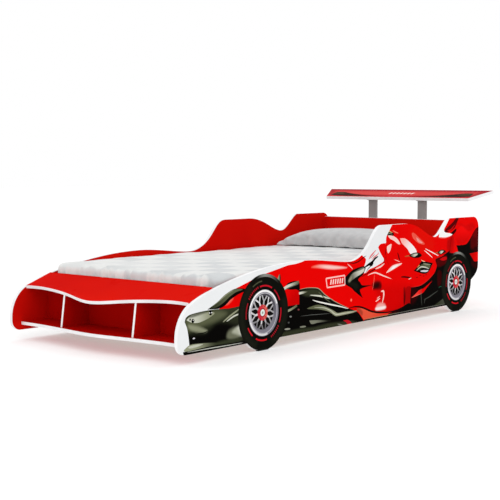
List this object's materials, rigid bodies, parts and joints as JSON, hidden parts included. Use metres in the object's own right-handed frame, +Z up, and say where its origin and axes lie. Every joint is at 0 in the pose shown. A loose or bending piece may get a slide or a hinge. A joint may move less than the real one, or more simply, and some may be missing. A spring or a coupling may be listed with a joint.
{
  "type": "racing car bed",
  "caption": "Child's single bed with racing-car side panels, a divided shelf in the nose, a slatted base with mattress and pillow, and a wing on two posts behind the headboard.",
  "frame": {"origin": "on the floor, below the middle of the whole bed", "axes": "+X to the bed's right-hand side, +Y towards the headboard and wing, +Z up"},
  "size_m": [0.9846, 2.2217, 0.5748],
  "materials": {
    "red_board": "gloss red lacquered foil on chipboard",
    "white_edge": "satin white plastic edge banding",
    "side_print": null,
    "wing_print": "printed film",
    "beech": "planed, unlacquered",
    "spruce": "planed, unlacquered",
    "grey_post": "satin grey powder coat",
    "black_plastic": "moulded",
    "zinc": "zinc plated",
    "foam": "foam core in ticking",
    "cover_cloth": "woven cotton with faint grey checks",
    "pillow_cloth": "woven cotton"
  },
  "bodies": {
    "bed_frame": {"bottom_shelf": "red_board", "cam_bolts": "zinc", "cam_locks": "zinc", "cleat_screws_left": "zinc", "cleat_screws_right": "zinc", "divider_dowels": "beech", "divider_edging_left": "white_edge", "divider_edging_right": "white_edge", "divider_screws": "zinc", "dowels": "beech", "floor_glides": "black_plastic", "footboard": "red_board", "headboard": "red_board", "headboard_edging": "white_edge", "hood_edging": "white_edge", "hood_panel": "red_board", "post_cap_left": "black_plastic", "post_cap_right": "black_plastic", "post_screws": "zinc", "rear_rail": "red_board", "shelf_divider_left": "red_board", "shelf_divider_right": "red_board", "shelf_edging": "white_edge", "side_cleat_left": "beech", "side_cleat_right": "beech", "side_edging_left": "white_edge", "side_edging_right": "white_edge", "side_graphic_left": "side_print", "side_graphic_right": "side_print", "side_panel_left": "red_board", "side_panel_right": "red_board", "slat_01": "spruce", "slat_02": "spruce", "slat_03": "spruce", "slat_04": "spruce", "slat_05": "spruce", "slat_06": "spruce", "slat_07": "spruce", "slat_08": "spruce", "slat_09": "spruce", "slat_10": "spruce", "slat_11": "spruce", "slat_12": "spruce", "slat_13": "spruce", "slat_screws": "zinc", "wing_board": "red_board", "wing_edging": "white_edge", "wing_graphic": "wing_print", "wing_plate_left": "grey_post", "wing_plate_right": "grey_post", "wing_post_left": "grey_post", "wing_post_right": "grey_post", "wing_screws": "zinc"},
    "mattress_set": {"mattress": "foam", "mattress_cover": "cover_cloth"},
    "pillow_body": {"pillow": "pillow_cloth"}
  },
  "joints": [
    {"name": "mattress_lift", "type": "slide", "parent": "bed_frame", "child": "mattress_set", "axis": [0, 0, 1], "range_m": [0, 0.12]},
    {"name": "pillow_lift", "type": "slide", "parent": "mattress_set", "child": "pillow_body", "axis": [0, 0, 1], "range_m": [0, 0.15]}
  ]
}
